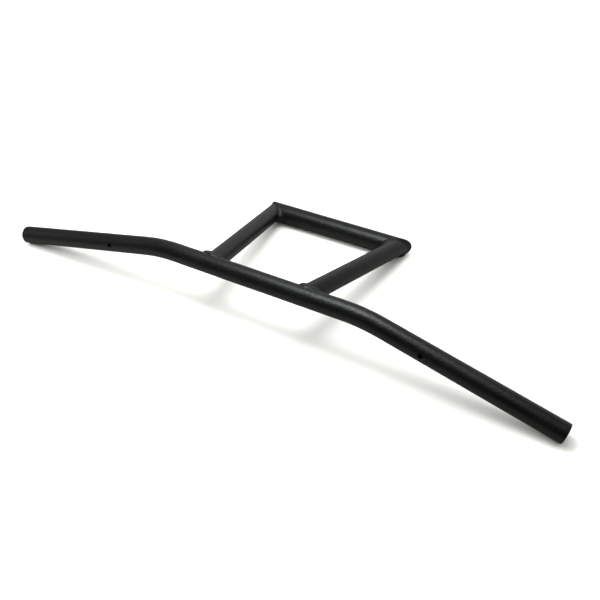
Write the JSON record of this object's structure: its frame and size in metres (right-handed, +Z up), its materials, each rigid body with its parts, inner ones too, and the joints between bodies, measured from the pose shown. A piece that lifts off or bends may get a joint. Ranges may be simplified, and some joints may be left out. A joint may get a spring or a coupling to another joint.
{
  "type": "t-bar handlebar",
  "caption": "Welded steel T-bar handlebar: a swept bar on splayed risers joined by a clamp crossbar, satin black, with open bar ends and locating holes.",
  "frame": {"origin": "middle of the clamp crossbar's axis, where the motorbike's clamps hold it", "axes": "+X along the crossbar, +Y from the bar towards the crossbar, +Z up from the table that it lies on"},
  "size_m": [0.7072, 0.2312, 0.07],
  "materials": {
    "black_coat": "satin powder coat"
  },
  "bodies": {
    "root": {"handlebar_tube": "black_coat", "left_riser": "black_coat", "right_riser": "black_coat", "clamp_crossbar": "black_coat", "left_riser_weld": "black_coat", "right_riser_weld": "black_coat", "left_corner_weld": "black_coat", "right_corner_weld": "black_coat"}
  },
  "joints": []
}
